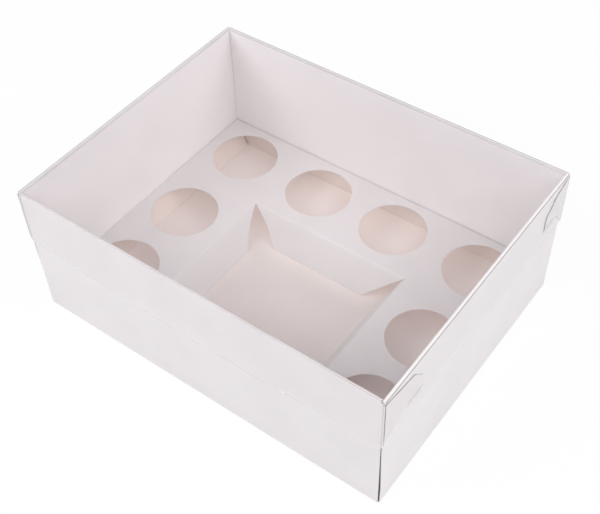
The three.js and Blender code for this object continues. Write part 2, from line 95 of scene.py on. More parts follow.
class SheetMesh:
    """One sheet of card or film, modelled at mid thickness in edit mode."""

    def __init__(
        self,
        name: str,
        bend: float,
        finishes: Sequence[bpy.types.Material],
        bend_steps: int = 4,
    ) -> None:
        """Starts the sheet.

        Args:
            name: Name of the finished piece.
            bend: Radius of its creases at mid thickness.
            finishes: The printed side, the reverse and the cut edge of each zone in turn.
            bend_steps: Strips that round off a right angle.
        """
        self.name = name
        self.bend = bend
        self.finishes = finishes
        self.bend_steps = bend_steps
        self.item: bpy.types.Object

    def start(self, low: tuple[float, float], high: tuple[float, float], height: float) -> None:
        """Adds the flat panel that everything folds from, and stays in edit mode.

        Args:
            low: Its lowest x and y.
            high: Its highest x and y.
            height: Its z.
        """
        bpy.ops.object.select_all(action="DESELECT")
        bpy.ops.mesh.primitive_plane_add(size=1, location=(0, 0, 0))
        self.item = bpy.context.active_object
        self.item.name = self.name
        self.item.data.name = self.name
        for finish in self.finishes:
            self.item.data.materials.append(finish)
        bpy.ops.object.mode_set(mode="EDIT")
        bpy.ops.mesh.select_mode(type="EDGE")
        self.place_rectangle(low, high, height)

    def place_rectangle(
        self, low: tuple[float, float], high: tuple[float, float], height: float
    ) -> None:
        """Gives a plane that was just added its size and place.

        Args:
            low: Its lowest x and y.
            high: Its highest x and y.
            height: Its z.
        """
        size = ((high[0] - low[0]) * MM, (high[1] - low[1]) * MM, 1)
        middle = ((high[0] + low[0]) / 2 * MM, (high[1] + low[1]) / 2 * MM, height * MM)
        bpy.ops.transform.resize(value=size, center_override=(0, 0, 0))
        bpy.ops.transform.translate(value=middle)

    def cut(self, axis: Axis, places: Sequence[float]) -> None:
        """Cuts edges across the whole sheet at places along an axis."""
        for place in places:
            bpy.ops.mesh.select_all(action="SELECT")
            bpy.ops.mesh.bisect(plane_co=axis.value * place * MM, plane_no=axis.value)

    def pick_rim(self, where: Where) -> None:
        """Selects free edges.

        Args:
            where: Tests both ends of an edge, in millimetres.
        """
        bpy.ops.mesh.select_all(action="DESELECT")
        mesh = bmesh.from_edit_mesh(self.item.data)
        for edge in mesh.edges:
            if len(edge.link_faces) < 2 and all(where(v.co / MM) for v in edge.verts):
                edge.select_set(True)
        bmesh.update_edit_mesh(self.item.data)

    def pick_faces(self, where: Where) -> None:
        """Selects faces.

        Args:
            where: Tests the middle of a face, in millimetres.
        """
        bpy.ops.mesh.select_all(action="DESELECT")
        mesh = bmesh.from_edit_mesh(self.item.data)
        for face in mesh.faces:
            if where(face.calc_center_median() / MM):
                face.select_set(True)
        bmesh.update_edit_mesh(self.item.data)

    def edges_again(self) -> None:
        """Goes back to picking edges."""
        bpy.ops.mesh.select_mode(type="EDGE")

    def drop_faces(self, where: Where) -> None:
        """Removes faces.

        Args:
            where: Tests the middle of a face, in millimetres.
        """
        bpy.ops.mesh.select_mode(type="FACE")
        self.pick_faces(where)
        bpy.ops.mesh.delete(type="FACE")
        self.edges_again()

    def forward(self, path: FoldPath, length: float, rows: int = 1) -> None:
        """Runs the picked edge straight on.

        Args:
            path: The path, which moves on.
            length: How far.
            rows: How many rows of faces that makes.
        """
        step = path.way * (length / rows)
        for _ in range(rows):
            bpy.ops.mesh.extrude_edges_move(TRANSFORM_OT_translate={"value": step * MM})
            path.at = path.at + step

    def fold(self, path: FoldPath, degrees: float) -> None:
        """Folds the picked edge round a crease, towards the path's side or, below 0, away from it.

        Args:
            path: The path, which turns.
            degrees: The angle of the fold.
        """
        sign = 1 if degrees > 0 else -1
        angle = math.radians(abs(degrees))
        side = path.side * sign
        centre = path.at + side * self.bend
        steps = max(2, round(self.bend_steps * abs(degrees) / 90))
        bpy.ops.mesh.spin(
            steps=steps,
            angle=angle,
            center=centre * MM,
            axis=side.cross(path.way),
            use_auto_merge=False,
        )
        travel = path.way * math.sin(angle) + side * (1 - math.cos(angle))
        path.at = path.at + travel * self.bend
        turned = path.way * math.cos(angle) + side * math.sin(angle)
        path.side = (side * math.cos(angle) - path.way * math.sin(angle)) * sign
        path.way = turned

    def stretch(self, axis: Axis, factor: float, middle: float) -> None:
        """Scales what is picked along one axis about a place on it."""
        value = Vector((1, 1, 1)) + axis.value * (factor - 1)
        bpy.ops.transform.resize(value=value, center_override=axis.value * middle * MM)

    def shift(self, move: Vector) -> None:
        """Moves what is picked."""
        bpy.ops.transform.translate(value=move * MM)

    def bow(self, axis: Axis, reach: float, weight: Weight) -> None:
        """Bows a part of the sheet with a displace modifier on a weighted vertex group.

        Args:
            axis: The way that it bows.
            reach: How far a vertex of full weight moves.
            weight: The weight of a vertex from its place, from 0 to 1.
        """
        group = self.item.vertex_groups.new(name="bow")
        for vertex in self.item.data.vertices:
            share = weight(vertex.co / MM)
            if share > 0:
                group.add([vertex.index], share, "REPLACE")
        modifier = self.item.modifiers.new("Bow", "DISPLACE")
        modifier.vertex_group = group.name
        modifier.direction = axis.name
        modifier.strength = reach * MM
        modifier.mid_level = 0
        self.apply(modifier)
        self.item.vertex_groups.clear()

    def apply(self, modifier: bpy.types.Modifier) -> None:
        """Applies a modifier of the sheet."""
        bpy.context.view_layer.objects.active = self.item
        bpy.ops.object.modifier_apply(modifier=modifier.name)

    def close(self, flat: Where, facing: int) -> None:
        """Leaves edit mode with doubles merged and the printed side of the sheet outwards.

        Args:
            flat: Picks a flat part of the sheet.
            facing: 1 where the printed side of that part faces up, -1 where it faces down.
        """
        bpy.ops.mesh.select_all(action="SELECT")
        bpy.ops.mesh.remove_doubles(threshold=MERGE * MM)
        bpy.ops.mesh.select_all(action="SELECT")
        bpy.ops.mesh.normals_make_consistent(inside=False)
        mesh = bmesh.from_edit_mesh(self.item.data)
        faces = [face for face in mesh.faces if flat(face.calc_center_median() / MM)]
        if facing * sum(face.normal.z * face.calc_area() for face in faces) < 0:
            bpy.ops.mesh.flip_normals()
        bpy.ops.object.mode_set(mode="OBJECT")

    def finish(self, zone: Zone, where: Where) -> None:
        """Gives faces the finishes of a zone.

        Args:
            zone: The zone.
            where: Tests the middle of a face, in millimetres.
        """
        bpy.ops.mesh.select_mode(type="FACE")
        self.pick_faces(where)
        self.item.active_material_index = zone.value
        bpy.ops.object.material_slot_assign()
        self.edges_again()

    def thicken(self, thickness: float) -> bpy.types.Object:
        """Gives the sheet its thickness.

        Args:
            thickness: Of the sheet.

        Returns:
            The finished piece.
        """
        modifier = self.item.modifiers.new("Thickness", "SOLIDIFY")
        modifier.thickness = thickness * MM
        modifier.offset = 0
        modifier.use_even_offset = True
        modifier.use_quality_normals = True
        modifier.material_offset = 1
        modifier.material_offset_rim = 2
        self.apply(modifier)
        bpy.ops.object.select_all(action="DESELECT")
        self.item.select_set(True)
        bpy.ops.object.shade_smooth_by_angle(angle=SMOOTH_BELOW)
        return self.item


def hump(value: float, low: float, high: float) -> float:
    """A smooth rise and fall between two places, 1 halfway and 0 outside them."""
    share = (value - low) / (high - low)
    return math.sin(math.pi * share) if 0 < share < 1 else 0.0


def ramp(value: float, low: float, high: float) -> float:
    """A smooth rise from 0 at one place to 1 at another."""
    share = min(max((value - low) / (high - low), 0.0), 1.0)
    return share * share * (3 - 2 * share)


# Finishes


class Nodes:
    """A node tree under construction."""

    def __init__(self, tree: bpy.types.NodeTree) -> None:
        """Clears a tree and builds in it."""
        self.tree = tree
        tree.nodes.clear()

    def add(self, kind: str, *inputs: object, **settings: object) -> bpy.types.Node:
        """Adds a node and feeds its inputs, each with a value or from another node's socket.

        Args:
            kind: Its type, less the word ShaderNode.
            inputs: What its first inputs take, in order. None leaves one as it is.
            settings: Its properties. A key with two underscores before it feeds an input.

        Returns:
            The node.
        """
        node = self.tree.nodes.new(kind if kind.startswith("Node") else "ShaderNode" + kind)
        fed = [key for key in settings if key.startswith("__")]
        for key in settings:
            if key not in fed:
                setattr(node, key, settings[key])
        for key in fed:
            self.feed(node.inputs[key[2:].replace("_", " ")], settings[key])
        for socket, value in zip(node.inputs, inputs):
            if value is not None:
                self.feed(socket, value)
        return node

    def feed(self, socket: bpy.types.NodeSocket, value: object) -> None:
        """Sets an input to a value, or links it where the value is another socket.

        Args:
            socket: The input.
            value: A plain value or a socket.
        """
        if isinstance(value, bpy.types.NodeSocket):
            self.tree.links.new(value, socket)
        else:
            socket.default_value = value

    def spread(
        self, value: object, low: float, high: float, **settings: object
    ) -> bpy.types.NodeSocket:
        """Adds a node that spreads a value from 0 to 1 over another range.

        Args:
            value: The value.
            low: What 0 becomes.
            high: What 1 becomes.
            settings: Its other inputs and properties.

        Returns:
            The new value.
        """
        return self.add("MapRange", value, __To_Min=low, __To_Max=high, **settings).outputs["Result"]


def new_material(name: str) -> tuple[bpy.types.Material, Nodes]:
    """Makes an empty material.

    Args:
        name: Name of the material.

    Returns:
        The material, and its tree to build in.
    """
    material = bpy.data.materials.new(name)
    material.use_nodes = True
    return material, Nodes(material.node_tree)


def paper_grain() -> bpy.types.ShaderNodeTree:
    """Builds the group that gives any card its mottle and fibres.

    Returns:
        The group, with Fibre Scale and Mottle Scale in, and Mottle, Fibre and Height out.
    """
    tree = bpy.data.node_groups.new("paper_grain", "ShaderNodeTree")
    face = tree.interface
    for name, value in (("Fibre Scale", 1800.0), ("Mottle Scale", 22.0)):
        socket = face.new_socket(name=name, in_out="INPUT", socket_type="NodeSocketFloat")
        socket.default_value = value
    for name in ("Mottle", "Fibre", "Height"):
        face.new_socket(name=name, in_out="OUTPUT", socket_type="NodeSocketFloat")
    nodes = Nodes(tree)
    given = nodes.add("NodeGroupInput").outputs
    place = nodes.add("TexCoord").outputs["Object"]
    fine = {"__Vector": place, "__Scale": given["Fibre Scale"]}
    coarse = {"__Vector": place, "__Scale": given["Mottle Scale"]}
    mottle = nodes.add("TexNoise", **coarse, __Detail=3.0, __Roughness=0.6)
    fibre = nodes.add("TexNoise", **fine, __Detail=4.0, __Roughness=0.7, __Distortion=0.6)
    pore = nodes.add("TexVoronoi", **fine, feature="SMOOTH_F1")
    height = nodes.add(
        "Math", pore.outputs["Distance"], 0.4, fibre.outputs["Fac"], operation="MULTIPLY_ADD"
    )
    nodes.add("NodeGroupOutput", mottle.outputs["Fac"], fibre.outputs["Fac"], height.outputs[0])
    return tree


@dataclass(frozen=True)
class CardFinish:
    """One surface of a sheet of card.

    Attributes:
        name: Name of the material.
        dark: Colour in the hollows of its mottle.
        light: Colour on the rest.
        rough: Lowest and highest roughness.
        relief: Depth of the fibres, in millimetres.
        fibre_scale: Fibres to a metre.
        coat: Share of clear varnish on it.
        passes: Share of the lamps' light that goes through it.
        under_insert_light: How much paler it is painted where the insert covers it, as painted light.
    """

    name: str
    dark: tuple[float, float, float]
    light: tuple[float, float, float]
    rough: tuple[float, float]
    relief: float
    fibre_scale: float = 1800.0
    coat: float = 0.0
    passes: float = 0.0
    under_insert_light: float = 1.0

    def make(self, grain: bpy.types.ShaderNodeTree) -> bpy.types.Material:
        """Makes the material.

        Args:
            grain: The paper grain group.

        Returns:
            The material.
        """
        material, nodes = new_material(self.name)
        paper = nodes.add("Group", node_tree=grain, __Fibre_Scale=self.fibre_scale)
        tone = nodes.add("ValToRGB", paper.outputs["Mottle"])
        for stop, place, colour in zip(tone.color_ramp.elements, MOTTLE_RANGE, (self.dark, self.light)):
            stop.position, stop.color = place, (*colour, 1)
        colour = tone.outputs["Color"]
        shader = nodes.add(
            "BsdfPrincipled",
            __Base_Color=self.paler(nodes, colour) if self.under_insert_light > 1 else colour,
            __Roughness=nodes.spread(paper.outputs["Fibre"], *self.rough),
            __Normal=nodes.add(
                "Bump", __Strength=0.6, __Distance=self.relief * MM, __Height=paper.outputs["Height"]
            ).outputs["Normal"],
            __Coat_Weight=self.coat,
            __Coat_Roughness=0.3,
        ).outputs["BSDF"]
        if self.passes > 0:
            from_lamp = nodes.add("LightPath").outputs["Is Shadow Ray"]
            share = nodes.add("Math", from_lamp, self.passes, operation="MULTIPLY")
            open_way = nodes.add("BsdfTransparent").outputs["BSDF"]
            shader = nodes.add("MixShader", share.outputs[0], shader, open_way).outputs["Shader"]
        nodes.add("OutputMaterial", __Surface=shader)
        return material

    def paler(self, nodes: Nodes, tone: bpy.types.NodeSocket) -> bpy.types.NodeSocket:
        """Makes a tone paler outside the cake opening, under the insert, as painted light.

        Args:
            nodes: The material's tree.
            tone: The colour.

        Returns:
            The colour with the paler part.
        """
        parts = nodes.add("SeparateXYZ", nodes.add("TexCoord").outputs["Object"]).outputs
        reach = nodes.add("Math", parts["X"], operation="ABSOLUTE").outputs[0]
        fades = [
            nodes.spread(
                source, 0.0, 1.0, __From_Min=low, __From_Max=high, interpolation_type="SMOOTHSTEP"
            )
            for source, (low, high) in ((reach, PAINTED_LIGHT_FROM_X), (parts["Y"], PAINTED_LIGHT_FROM_Y))
        ]
        # Mask of the painted light: 1 under the insert, 0 in the cake opening.
        clean = nodes.add("Math", *fades, operation="MAXIMUM").outputs[0]
        gain = nodes.spread(clean, 1.0, self.under_insert_light)
        return nodes.add("VectorMath", tone, __Scale=gain, operation="SCALE").outputs[0]


@dataclass(frozen=True)
class FilmFinish:
    """Clear film that lets lamps through.

    Attributes:
        name: Name of the material.
        tint: Colour of what passes through it.
        rough: Lowest and highest roughness.
        waviness: Depth of its ripples, in millimetres.
        passes: Share of light that goes through.
        ior: How strongly it mirrors.
        clean: Share of it that light crosses without bending, as at a thin cut.
    """

    name: str
    tint: tuple[float, float, float]
    rough: tuple[float, float]
    waviness: float
    passes: float = 1.0
    ior: float = 1.28
    clean: float = 0.0

    def make(self) -> bpy.types.Material:
        """Makes the material.

        Returns:
            The material.
        """
        material, nodes = new_material(self.name)
        place = nodes.add("TexCoord").outputs["Object"]
        ripple = nodes.add("TexNoise", __Vector=place, __Scale=14.0, __Detail=1.0)
        haze = nodes.add("TexNoise", __Vector=place, __Scale=60.0, __Detail=5.0, __Roughness=0.7)
        waves = nodes.add(
            "Bump", __Strength=0.5, __Distance=self.waviness * MM, __Height=ripple.outputs["Fac"]
        )
        film = nodes.add(
            "BsdfPrincipled",
            __Base_Color=(*self.tint, 1),
            __Roughness=nodes.spread(
                haze.outputs["Fac"], *self.rough, __From_Min=HAZE_RANGE[0], __From_Max=HAZE_RANGE[1]
            ),
            __IOR=self.ior,
            __Normal=waves.outputs["Normal"],
            __Transmission_Weight=self.passes,
        )
        open_way = nodes.add("BsdfTransparent").outputs["BSDF"]
        path = nodes.add("LightPath").outputs
        lights = nodes.add("Math", path["Is Shadow Ray"], path["Is Diffuse Ray"], operation="MAXIMUM")
        sheer = nodes.add("MixShader", self.clean, film.outputs["BSDF"], open_way)
        mix = nodes.add("MixShader", lights.outputs[0], sheer.outputs["Shader"], open_way)
        nodes.add("OutputMaterial", __Surface=mix.outputs["Shader"])
        return material


WHITE_FACE = CardFinish(
    "white_card_face", (0.865, 0.832, 0.84), (0.895, 0.862, 0.87), (0.42, 0.56), 0.010, coat=0.12
)
INSERT_FACE = CardFinish(
    "insert_card_face", (0.695, 0.657, 0.66), (0.725, 0.687, 0.69), (0.48, 0.62), 0.012, passes=0.68
)
INSERT_REVERSE = CardFinish(
    "insert_card_reverse",
    (0.80, 0.70, 0.66),
    (0.84, 0.74, 0.70),
    (0.6, 0.78),
    0.03,
    1200.0,
    passes=0.68,
)
# Paler card on the insert's folds: a painted highlight along the fold lines.
INSERT_CREASE_HIGHLIGHT = CardFinish(
    "insert_card_crease", (0.70, 0.665, 0.67), (0.78, 0.745, 0.75), (0.5, 0.7), 0.04, fibre_scale=2200.0
)
# The tray's reverse, with painted light that makes it paler under the insert than in the cake opening.
CARD_REVERSE = CardFinish(
    "card_reverse", (0.69, 0.628, 0.608), (0.72, 0.658, 0.638), (0.6, 0.78), 0.03, 1200.0, under_insert_light=1.27
)
CARD_EDGE = CardFinish(
    "card_cut_edge", (0.80, 0.77, 0.765), (0.88, 0.855, 0.85), (0.7, 0.85), 0.05, fibre_scale=2600.0
)
# Darker card for the top of the tray's rim: painted shade that takes off the extra light on its upward
# fold.
CARD_RIM_SHADE = CardFinish(
    "card_folded_rim", (0.60, 0.565, 0.57), (0.68, 0.645, 0.65), (0.5, 0.7), 0.04, fibre_scale=2200.0
)
# Near-black card for the corners' open slits: painted shade, the shadow inside each slit.
CARD_GAP_SHADE = CardFinish("card_corner_gap", (0.05, 0.04, 0.035), (0.09, 0.07, 0.06), (0.7, 0.9), 0.03)
CLEAR_FILM = FilmFinish("clear_film", (0.99, 0.977, 0.982), (0.015, 0.05), 0.25)
FILM_CREASE = FilmFinish("film_crease", (0.78, 0.76, 0.77), (0.12, 0.25), 0.05, passes=0.9)
FILM_EDGE = FilmFinish("film_cut_edge", (0.96, 0.94, 0.95), (0.2, 0.35), 0.05, clean=0.7)
FILM_SCORE = FilmFinish("film_score", (0.62, 0.60, 0.61), (0.15, 0.3), 0.05, 0.85, clean=0.3)


# Sub-assemblies


@dataclass
class Tray:
    """The white tray, folded from one sheet with double walls.

    Attributes:
        bend: Radius of its folds.
        notch: From a wall's foot or top to where its corner flap starts.
        flap_root: Run of a corner flap beside its fold, before it tapers.
        flap_run: Run of the rest of it.
        flap_slope: How much lower a corner flap's top edge ends than it starts.
        gap_least: Narrowest that a corner's open slit is.
        gap_growth: How much wider it gets low down.
        gap_heights: Where the slit starts to narrow and where it has shut.
        gap_foot: The share of its growth that it has at the very foot.
        gap_foot_height: Where it has all of it.
        gap_turn: The share of a flap's fold that shows in the slit.
        bow_margin: How far a wall's bow stays from its ends.
        long_bows: How far the front and the back wall bow.
        short_bows: How far the left and the right wall bow.
        short_bow_top: Height where their bow ends.
        wall_rows: Rows of faces up an inner or a long wall. An outer short wall has twice as many.
    """

    length: float = 327.5
    width: float = 252.0
    height: float = 126.5
    card: float = 0.5
    air: float = 0.3
    bend: float = 0.78
    notch: float = 2.5
    flap_root: float = 1.5
    flap_run: float = 60.0
    flap_slope: float = 9.0
    gap_least: float = 0.25
    gap_growth: float = 1.5
    gap_heights: tuple[float, float] = (6.0, 74.0)
    gap_foot: float = 0.6
    gap_foot_height: float = 20.0
    gap_turn: float = 0.35
    bow_margin: float = 2.0
    long_bows: tuple[float, float] = (-0.8, 0.5)
    short_bows: tuple[float, float] = (-0.5, 0.8)
    short_bow_top: float = 78.0
    wall_rows: int = 7
    columns: tuple[float, ...] = (-135, -100, -66, -33, 0, 33, 66, 100, 135)
    rows: tuple[float, ...] = (-105, -84, -56, -28, 0, 28, 56, 84, 105)

    def __post_init__(self) -> None:
        """Works out where the middles of the layers are."""
        rim = 3 * self.card + 2 * self.air
        self.base = self.card / 2
        self.top = self.height - self.card / 2
        self.long_out = self.width / 2 - self.card / 2
        self.long_in = self.width / 2 - rim + self.card / 2
        self.short_out = self.length / 2 - self.card / 2
        self.short_in = self.length / 2 - rim + self.card / 2
        self.flap_line = self.short_out - self.card - self.air
        self.inner_end = self.short_in - self.card / 2 - self.air
        self.rim_flat = rim - self.card - 2 * self.bend
        self.foot = self.card + self.air

    def build(self, finishes: Sequence[bpy.types.Material]) -> bpy.types.Object:
        """Models the tray.

        Args:
            finishes: The card's face, reverse and cut edge, for each zone in turn.

        Returns:
            The finished piece.
        """
        sheet = SheetMesh("white_folded_tray", self.bend, finishes)
        half = (self.short_out - self.bend, self.long_out - self.bend)
        sheet.start((-half[0], -half[1]), half, self.base)
        ends = (self.flap_line - self.bend, self.inner_end)
        sheet.cut(Axis.X, (*self.columns, *ends, *(-e for e in ends)))
        sheet.cut(Axis.Y, self.rows)
        for side in (-1, 1):
            self.long_wall(sheet, side)
        for end in (-1, 1):
            self.short_wall(sheet, end)
        # The rim's top fold, all but the right end, takes the painted shade.
        rim, right = self.top - self.bend + NEAR, self.short_in - self.bend
        sheet.finish(Zone.FOLD, lambda p: p.z > rim and p.x < right)
        # The corner zone gets the painted shade of the open slits.
        sheet.finish(Zone.CORNER, self.in_shaded_corner_gap)
        sheet.close(lambda p: p.z < self.base + NEAR, -1)
        self.relax(sheet)
        return sheet.thicken(self.card)

    def long_wall(self, sheet: SheetMesh, side: int) -> None:
        """Folds up a long wall and its corner flaps.

        Args:
            sheet: The tray's sheet.
            side: -1 for the front, 1 for the back.
        """
        edge = side * (self.long_out - self.bend)
        corner = self.flap_line - self.bend
        sheet.pick_rim(lambda p: abs(p.y - edge) < NEAR and abs(p.x) < corner + NEAR)
        path = FoldPath(Vector((0, edge, self.base)), Axis.Y.value * side, Axis.Z.value.copy())
        sheet.fold(path, 90)
        sheet.forward(path, self.notch - path.at.z)
        shoulder = self.height - self.notch
        sheet.forward(path, shoulder - path.at.z, self.wall_rows)
        wall = side * self.long_out
        for end in (-1, 1):
            self.corner_flap(sheet, side, end)
        sheet.pick_rim(
            lambda p: abs(p.y - wall) < NEAR
            and abs(p.z - shoulder) < NEAR
            and abs(p.x) < self.inner_end + NEAR
        )
        sheet.forward(path, self.top - self.bend - path.at.z)
        sheet.fold(path, 90)
        sheet.forward(path, self.rim_flat)
        sheet.fold(path, 90)
        sheet.forward(path, path.at.z - self.foot, self.wall_rows)

    def corner_flap(self, sheet: SheetMesh, side: int, end: int) -> None:
        """Folds a long wall's flap in behind the short wall.

        Args:
            sheet: The tray's sheet.
            side: -1 for the front wall, 1 for the back one.
            end: -1 for the left end, 1 for the right one.
        """
        corner = end * (self.flap_line - self.bend)
        wall = side * self.long_out
        low, high = self.notch, self.height - self.notch
        sheet.pick_rim(
            lambda p: abs(p.x - corner) < NEAR
            and abs(p.y - wall) < NEAR
            and low - NEAR < p.z < high + NEAR
        )
        path = FoldPath(Vector((corner, wall, 0)), Axis.X.value * end, Axis.Y.value * -side)
        sheet.fold(path, 90)
        sheet.forward(path, self.flap_root)
        sheet.forward(path, self.flap_run)
        sheet.stretch(Axis.Z, 1 - 2 * self.flap_slope / (high - low), (low + high) / 2)

    def short_wall(self, sheet: SheetMesh, end: int) -> None:
        """Folds up a short wall, over the corner flaps and down inside.

        Args:
            sheet: The tray's sheet.
            end: -1 for the left end, 1 for the right one.
        """
        edge = end * (self.short_out - self.bend)
        sheet.pick_rim(lambda p: abs(p.x - edge) < NEAR and p.z < self.base + NEAR)
        path = FoldPath(Vector((edge, 0, self.base)), Axis.X.value * end, Axis.Z.value.copy())
        half = self.long_out - self.bend
        flush = self.width / 2 - self.card - self.air
        sheet.fold(path, 90)
        rows = 2 * self.wall_rows
        rise = (self.top - self.bend - path.at.z) / rows
        for _ in range(rows):
            sheet.forward(path, rise)
            wanted = self.width / 2 - self.corner_gap(path.at.z)
            sheet.stretch(Axis.Y, wanted / half, 0)
            half = wanted
        sheet.fold(path, 90)
        sheet.forward(path, self.rim_flat)
        sheet.fold(path, 90)
        sheet.forward(path, self.air)
        sheet.stretch(Axis.Y, flush / half, 0)
        sheet.forward(path, path.at.z - self.foot, self.wall_rows)

    def corner_gap(self, height: float) -> float:
        """How far a short wall's upright edge stays back from the corner at a height."""
        foot = self.gap_foot + (1 - self.gap_foot) * ramp(height, 0, self.gap_foot_height)
        return self.gap_least + self.gap_growth * (1 - ramp(height, *self.gap_heights)) * foot

    def in_shaded_corner_gap(self, place: Vector) -> bool:
        """Tells the part of a corner's fold that an open corner shows, where the shade in the slit is
        painted dark.

        Args:
            place: The place, in millimetres.

        Returns:
            Whether the place is on it.
        """
        turned = self.flap_line - self.bend * self.gap_turn
        return (
            turned < abs(place.x) < self.flap_line + NEAR
            and abs(place.y) > self.long_out - self.bend - self.gap_growth
            and self.notch < place.z < self.gap_heights[1]
        )

    def relax(self, sheet: SheetMesh) -> None:
        """Bows the walls a little, as folded card does.

        Args:
            sheet: The tray's sheet, out of edit mode.
        """
        foot, top = self.notch, self.height - self.notch
        span, reach = self.long_in - self.bow_margin, self.short_in - self.bow_margin
        for side, amount in zip((-1, 1), self.long_bows):
            wall = side * self.long_out
            sheet.bow(
                Axis.Y,
                amount,
                lambda p: (abs(p.y - wall) < NEAR) * hump(p.z, foot, top) * hump(p.x, -reach, reach),
            )
        top = self.short_bow_top
        for end, amount in zip((-1, 1), self.short_bows):
            wall = end * self.short_out
            sheet.bow(
                Axis.X,
                amount,
                lambda p: (abs(p.x - wall) < NEAR) * hump(p.z, foot, top) * hump(p.y, -span, span),
            )


@dataclass
class Insert:
    """The raised insert, folded from one sheet with flaps and legs.

    Attributes:
        slide: How far it lies off the middle, in x and y.
        skew: How far it is turned, in degrees.
        flap_relief: How much each end of a flap is cut short of the opening's corner.
        side_flap: Run and taper of the short edges' flaps.
        end_flap: Run and taper of the long edges' flaps.
        side_bulges: How far a short edge's flap curves in at its front and back end.
        end_bulges: How far a long edge's flap curves in at its left and right end.
        side_leg: Run of the short edges' legs, and how much each end is cut short.
        end_leg: Run of the long edges' legs, and how much each end is cut short.
        edge_relief: From the end of a fold to the card's corner.
    """

    half_length: float = 160.449
    half_width: float = 122.699
    top: float = 25.5
    card: float = 0.5
    air: float = 0.3
    bend: float = 0.6
    hole: float = 59.0
    slide: tuple[float, float] = (-0.9, 0.45)
    skew: float = 0.09
    hole_places: tuple[tuple[float, float], ...] = (
        (-120.949, 85.199),
        (-39.016, 85.199),
        (39.016, 85.199),
        (120.949, 85.199),
        (-120.949, 0.0),
        (120.949, 0.0),
        (-120.949, -77.199),
        (120.949, -77.199),
    )
    opening_half_length: float = 76.85
    opening_back: float = 43.9
    opening_front: float = -109.5
    flap_relief: float = 0.5
    side_flap: tuple[float, float] = (14.5, 31.0)
    end_flap: tuple[float, float] = (17.2, 30.0)
    side_bulges: tuple[float, float] = (0.4, 0.5)
    end_bulges: tuple[float, float] = (0.5, 0.08)
    flap_rows: int = 12
    side_leg: tuple[float, float] = (13.2, 2.0)
    end_leg: tuple[float, float] = (0.6, 2.0)
    leg_taper: float = 1.0
    edge_relief: float = 0.4
    hole_sides: int = 128

    def build(self, finishes: Sequence[bpy.types.Material]) -> bpy.types.Object:
        """Models the insert.

        Args:
            finishes: The card's face, reverse and cut edge, for each zone in turn.

        Returns:
            The finished piece.
        """
        sheet = SheetMesh("cupcake_insert_card", self.bend, finishes)
        level = self.top - self.card / 2
        drop = level - self.card - self.air
        edge = self.card / 2 + self.bend
        half_x, half_y = self.half_length - edge, self.half_width - edge
        middle = (self.opening_back + self.opening_front) / 2
        tall = (self.opening_back - self.opening_front) / 2
        side_turn = math.atan2(drop, self.side_flap[0])
        end_turn = math.atan2(drop, self.end_flap[0])
        open_x = self.opening_half_length + self.bend * math.tan(side_turn / 2)
        open_y = tall + self.bend * math.tan(end_turn / 2)
        side_half = tall - self.flap_relief
        end_half = self.opening_half_length - self.flap_relief
        self.outline(sheet, (half_x, half_y), (open_x, open_y), middle, level)
        sheet.cut(Axis.X, (-end_half, end_half))
        sheet.cut(Axis.Y, (middle - side_half, middle + side_half))
        for way in (-1, 1):
            leg_x = min(self.half_length - self.end_leg[1], half_x - self.edge_relief)
            sheet.cut(Axis.Y, (way * (self.half_width - self.side_leg[1]),))
            sheet.cut(Axis.X, (way * leg_x,))
        self.plate(sheet)
        for way in (-1, 1):
            edge = way * open_x
            path = FoldPath(Vector((edge, middle, level)), Axis.X.value * -way, -Axis.Z.value)
            sheet.pick_rim(lambda p: abs(p.x - edge) < NEAR and abs(p.y - middle) < side_half + NEAR)
            taper = self.side_flap[1]
            self.flap(sheet, path, side_turn, drop, side_half, taper, Axis.Y, self.side_bulges)
            place = middle + way * open_y
            path = FoldPath(Vector((0, place, level)), Axis.Y.value * -way, -Axis.Z.value)
            sheet.pick_rim(lambda p: abs(p.y - place) < NEAR and abs(p.x) < end_half + NEAR)
            taper = self.end_flap[1]
            self.flap(sheet, path, end_turn, drop, end_half, taper, Axis.X, self.end_bulges)
        self.legs(sheet, half_x, half_y, level, drop)
        # The plate's folds take the paler crease finish, a painted highlight.
        low = level - self.bend * 0.6
        sheet.finish(
            Zone.FOLD,
            lambda p: low < p.z < level - NEAR and abs(p.x) < half_x and abs(p.y) < half_y,
        )
        bpy.ops.mesh.select_all(action="SELECT")
        sheet.shift(Vector((*self.slide, 0)))
        bpy.ops.transform.rotate(
            value=math.radians(self.skew), orient_axis="Z", center_override=(0, 0, 0)
        )
        sheet.close(lambda p: p.z > level - NEAR, 1)
        return sheet.thicken(self.card)

    def outline(
        self,
        sheet: SheetMesh,
        half: tuple[float, float],
        opening: tuple[float, float],
        middle: float,
        level: float,
    ) -> None:
        """Draws the plate's outline, its cup holes and the cake opening as loops of edges.

        Args:
            sheet: The insert's sheet.
            half: Half the plate's size, up to its folds.
            opening: Half the opening's size, up to its folds.
            middle: Where the opening's middle is, in y.
            level: Mid height of the plate.
        """
        sheet.start((-half[0], -half[1]), half, level)
        bpy.ops.mesh.delete(type="ONLY_FACE")
        bpy.ops.mesh.select_all(action="DESELECT")
        bpy.ops.mesh.primitive_plane_add(size=1, location=(0, 0, 0))
        low = (-opening[0], middle - opening[1])
        sheet.place_rectangle(low, (opening[0], middle + opening[1]), level)
        bpy.ops.mesh.delete(type="ONLY_FACE")
        for x, y in self.hole_places:
            bpy.ops.mesh.select_all(action="DESELECT")
            centre = Vector((x, y, level)) * MM
            radius = self.hole / 2 * MM
            bpy.ops.mesh.primitive_circle_add(
                vertices=self.hole_sides, radius=radius, location=centre
            )

    def plate(self, sheet: SheetMesh) -> None:
        """Fills the plate between the loops."""
        bpy.ops.mesh.select_all(action="SELECT")
        bpy.ops.mesh.fill(use_beauty=True)
        sheet.edges_again()

